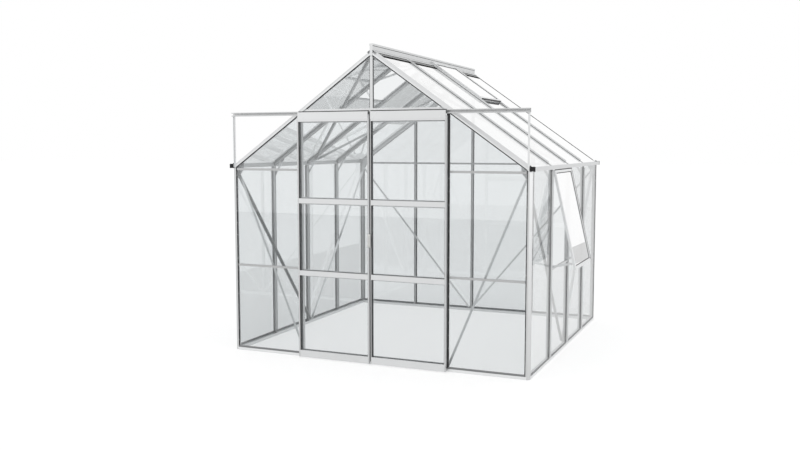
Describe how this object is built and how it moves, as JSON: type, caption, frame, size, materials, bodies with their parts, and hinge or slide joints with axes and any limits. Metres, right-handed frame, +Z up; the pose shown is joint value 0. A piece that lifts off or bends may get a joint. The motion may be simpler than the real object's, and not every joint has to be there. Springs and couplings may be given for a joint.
{
  "type": "greenhouse",
  "caption": "Apex-roof garden greenhouse of slim metal glazing bars and clear panes, with a sliding double door, hinged roof vents and a top-hung side window.",
  "frame": {"origin": "middle of the front sill's underside, on the ground in the doorway", "axes": "+X to the right seen from the door, +Y from the door to the back wall, +Z up"},
  "size_m": [2.7933, 2.57, 2.519],
  "materials": {
    "aluminium": "satin mill finish",
    "glass": "clear",
    "black_plastic": "matt",
    "white_plastic": "satin"
  },
  "bodies": {
    "frame": {"front_sill": "aluminium", "back_sill": "aluminium", "side_sills": "aluminium", "corner_posts": "aluminium", "wall_bars": "aluminium", "gutters": "aluminium", "gutter_end_caps": "black_plastic", "gable_rafters": "aluminium", "roof_bars": "aluminium", "ridge": "aluminium", "ridge_end_caps": "aluminium", "door_posts": "aluminium", "gable_transom": "aluminium", "king_post": "aluminium", "front_panel_rails": "aluminium", "back_gable_bars": "aluminium", "back_tie_bar": "aluminium", "gable_braces": "aluminium", "wall_braces": "aluminium", "roof_braces": "aluminium", "eaves_stays": "aluminium", "eaves_gussets": "aluminium", "door_track": "aluminium", "track_struts": "aluminium", "vent_frames": "aluminium", "vent_cross_bars": "aluminium", "vent_stay": "aluminium", "window_frame": "aluminium", "window_cross_bar": "aluminium", "window_stays": "aluminium", "wall_glass": "glass", "roof_glass": "glass", "front_gable_glass": "glass", "back_gable_glass": "glass", "vent_glass": "glass", "window_glass": "glass"},
    "left_door": {"left_door_stiles": "aluminium", "left_door_rails": "aluminium", "left_door_glass": "glass", "left_door_rollers": "white_plastic", "left_door_handle": "white_plastic"},
    "right_door": {"right_door_stiles": "aluminium", "right_door_rails": "aluminium", "right_door_glass": "glass", "right_door_rollers": "white_plastic"}
  },
  "joints": [
    {"name": "left_door_slide", "type": "slide", "parent": "frame", "child": "left_door", "axis": [-1, 0, 0], "range_m": [0, 0.61]},
    {"name": "right_door_slide", "type": "slide", "parent": "frame", "child": "right_door", "axis": [1, 0, 0], "range_m": [0, 0.61]}
  ]
}
